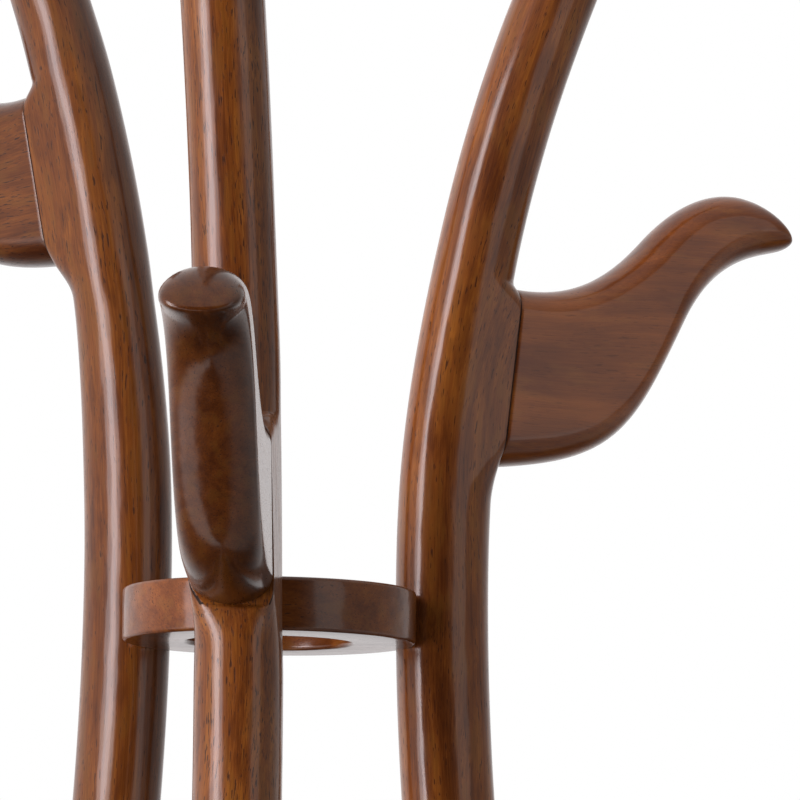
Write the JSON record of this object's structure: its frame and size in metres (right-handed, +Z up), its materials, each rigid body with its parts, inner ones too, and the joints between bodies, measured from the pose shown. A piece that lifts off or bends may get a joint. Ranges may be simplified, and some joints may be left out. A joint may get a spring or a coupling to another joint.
{
  "type": "standing coat rack",
  "caption": "Free-standing wooden coat rack: bowed uprights in an hourglass round a bolted ring, flaring to feet and horns, with staggered bird-tail hooks.",
  "frame": {"origin": "centre of the bounding box in X and Y, on the floor", "axes": "+Z up the rack; the front upright and its low hook point toward -Y; X across"},
  "size_m": [0.5032, 0.4433, 1.692],
  "materials": {
    "upright_wood": "walnut-stained hardwood, open pored, semi-gloss lacquer, grain along the length",
    "hook_wood": "walnut-stained hardwood, semi-gloss lacquer, grain running out along the hook",
    "ring_wood": "walnut-stained hardwood, semi-gloss lacquer",
    "dowel_wood": "plain beech",
    "bolt_steel": "dark zinc plated socket head bolt",
    "washer_steel": "zinc plated",
    "insert_brass": "plain brass",
    "glide_plastic": "matt black nylon",
    "screw_steel": "zinc plated countersunk screw"
  },
  "bodies": {
    "root": {"upright_front": "upright_wood", "upright_right": "upright_wood", "upright_left": "upright_wood", "hook_front": "hook_wood", "hook_right": "hook_wood", "hook_left": "hook_wood", "dowel_front_low": "dowel_wood", "dowel_front_high": "dowel_wood", "dowel_right_low": "dowel_wood", "dowel_right_high": "dowel_wood", "dowel_left_low": "dowel_wood", "dowel_left_high": "dowel_wood", "upper_ring": "ring_wood", "lower_ring": "ring_wood", "bolt_upper_front": "bolt_steel", "bolt_upper_right": "bolt_steel", "bolt_upper_left": "bolt_steel", "washer_upper_front": "washer_steel", "washer_upper_right": "washer_steel", "washer_upper_left": "washer_steel", "insert_upper_front": "insert_brass", "insert_upper_right": "insert_brass", "insert_upper_left": "insert_brass", "bolt_lower_front": "bolt_steel", "bolt_lower_right": "bolt_steel", "bolt_lower_left": "bolt_steel", "washer_lower_front": "washer_steel", "washer_lower_right": "washer_steel", "washer_lower_left": "washer_steel", "insert_lower_front": "insert_brass", "insert_lower_right": "insert_brass", "insert_lower_left": "insert_brass", "glide_front": "glide_plastic", "glide_right": "glide_plastic", "glide_left": "glide_plastic", "glide_screw_front": "screw_steel", "glide_screw_right": "screw_steel", "glide_screw_left": "screw_steel"}
  },
  "joints": []
}
